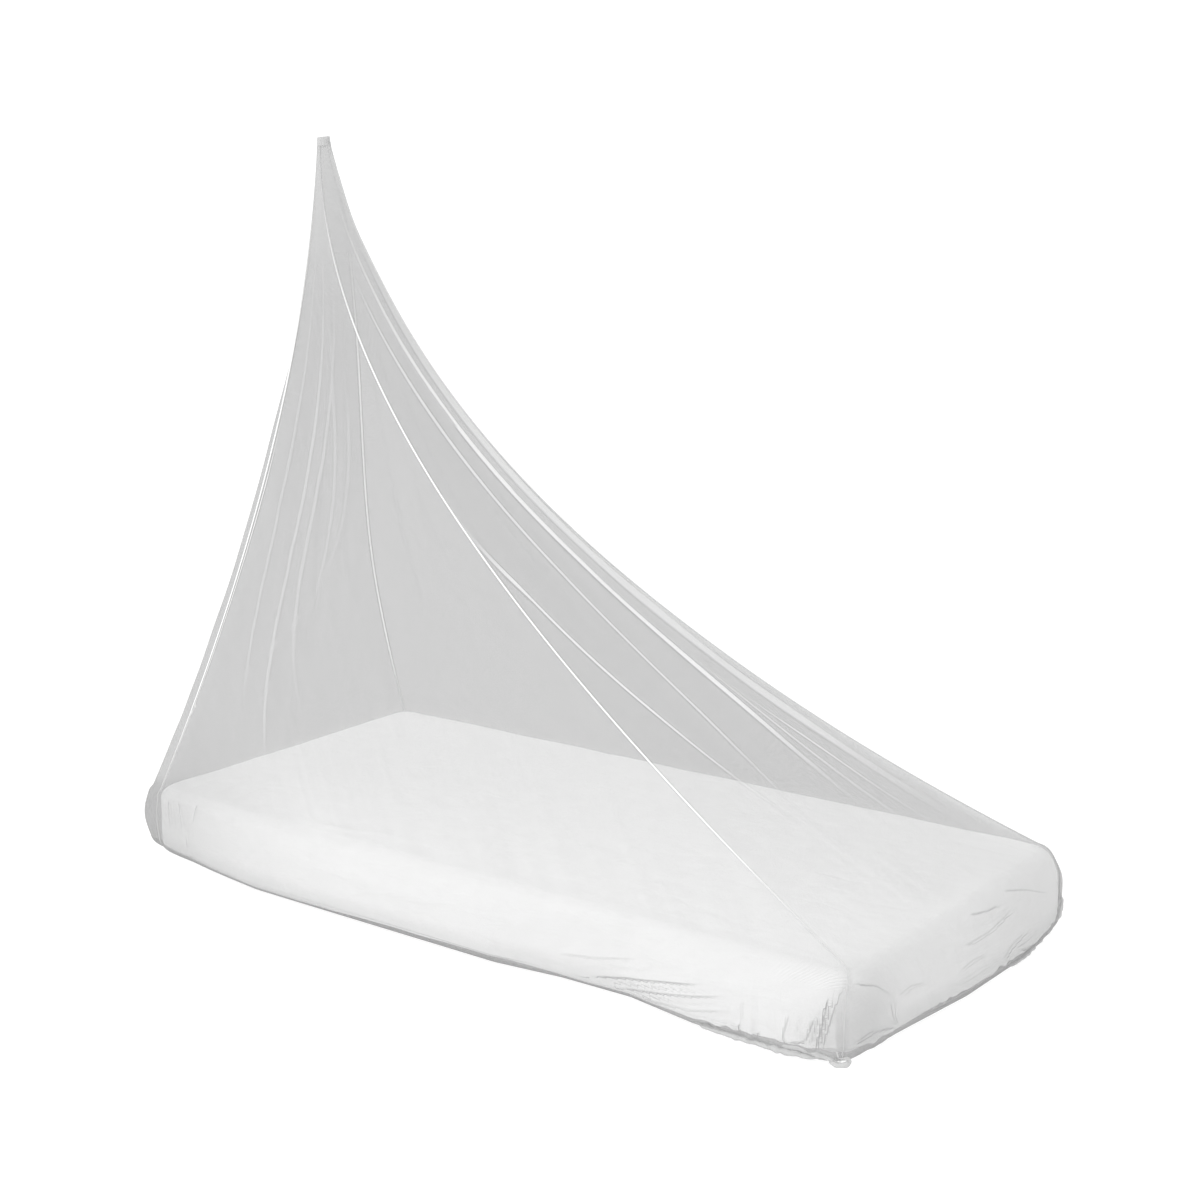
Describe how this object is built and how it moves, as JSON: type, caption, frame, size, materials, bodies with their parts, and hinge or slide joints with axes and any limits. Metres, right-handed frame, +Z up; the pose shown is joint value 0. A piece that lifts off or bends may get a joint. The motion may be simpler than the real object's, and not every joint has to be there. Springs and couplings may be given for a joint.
{
  "type": "mosquito net canopy with mattress",
  "caption": "Sheer net canopy hung from one point above the head end, flaring down in panels to wrap and tuck under a plain mattress.",
  "frame": {"origin": "middle of the footprint, on the plane that the mattress stands on", "axes": "+X from the head end to the foot end along the mattress, +Y across the mattress from the near long side to the far one, +Z up"},
  "size_m": [1.9183, 0.9204, 1.675],
  "materials": {
    "net": "fine sheer grey-white polyester net",
    "seam_tape": "white woven tape",
    "mattress_cover": "plain white cotton sheet"
  },
  "bodies": {
    "root": {"mattress": "mattress_cover", "near_panel": "net", "foot_panel": "net", "far_panel": "net", "head_panel": "net", "near_head_seam": "seam_tape", "near_foot_seam": "seam_tape", "far_foot_seam": "seam_tape", "far_head_seam": "seam_tape", "tip_cap": "seam_tape"}
  },
  "joints": []
}
